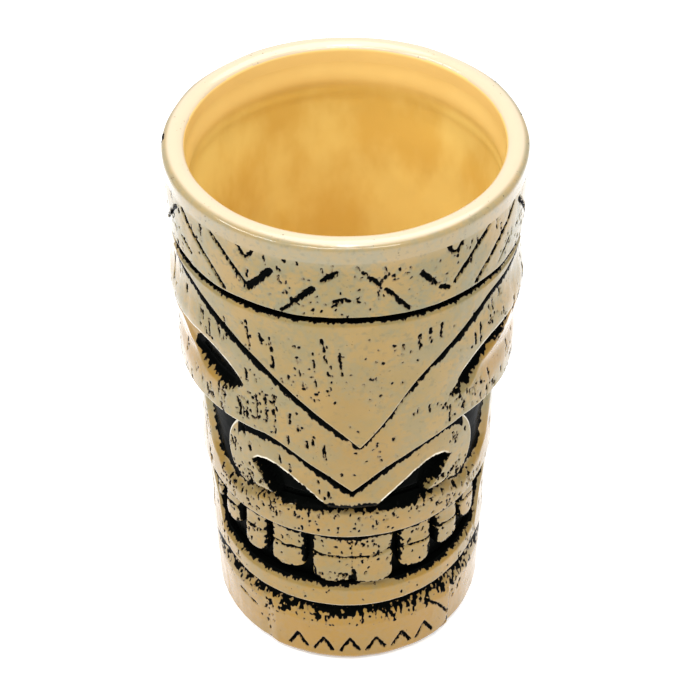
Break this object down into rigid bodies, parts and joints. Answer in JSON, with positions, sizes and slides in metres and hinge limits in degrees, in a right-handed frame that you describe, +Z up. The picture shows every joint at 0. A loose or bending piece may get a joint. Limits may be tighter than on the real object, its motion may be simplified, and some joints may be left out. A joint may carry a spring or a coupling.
{
  "type": "tiki mug",
  "caption": "Tall tapered ceramic tiki mug with no handle: a round drinking cup whose outside carries a carved-looking mask under a zigzag rim band.",
  "frame": {"origin": "middle of the foot ring's underside, on the surface that the mug stands on", "axes": "+Z up along the mug's axis to the mouth, -Y out of the front of the mask, +X to the viewer's right when facing the mask"},
  "size_m": [0.09, 0.09, 0.152],
  "materials": {
    "glazed_mask": "glossy tan glaze over a black wash that stays in the cuts, with a thin grey film",
    "amber_glaze": "glossy amber glaze where the face is smooth and the wash was wiped away",
    "lining_glaze": "high gloss clear amber glaze over pale clay",
    "lip_glaze": "high gloss cream glaze, thin over the rounded lip",
    "black_wash": "black wash under clear glaze in every groove",
    "bare_clay": "unglazed fired clay, matt and slightly sandy"
  },
  "bodies": {
    "root": {"foot_ring": "bare_clay", "cup_wall": "black_wash", "inner_glaze_lining": "lining_glaze", "mouth_lip": "lip_glaze", "rim_band": "glazed_mask", "forehead_plate": "glazed_mask", "brow_band": "glazed_mask", "nose": "glazed_mask", "upper_lip": "glazed_mask", "lower_lip": "amber_glaze", "left_eye": "amber_glaze", "right_eye": "amber_glaze", "left_cheek": "amber_glaze", "right_cheek": "amber_glaze", "tooth_left_5": "glazed_mask", "tooth_left_4": "glazed_mask", "tooth_left_3": "glazed_mask", "tooth_left_2": "glazed_mask", "tooth_left_1": "glazed_mask", "tooth_right_1": "glazed_mask", "tooth_right_2": "glazed_mask", "tooth_right_3": "glazed_mask", "tooth_right_4": "glazed_mask", "back_panel": "glazed_mask", "base_band": "amber_glaze", "base_plaque": "amber_glaze"}
  },
  "joints": []
}
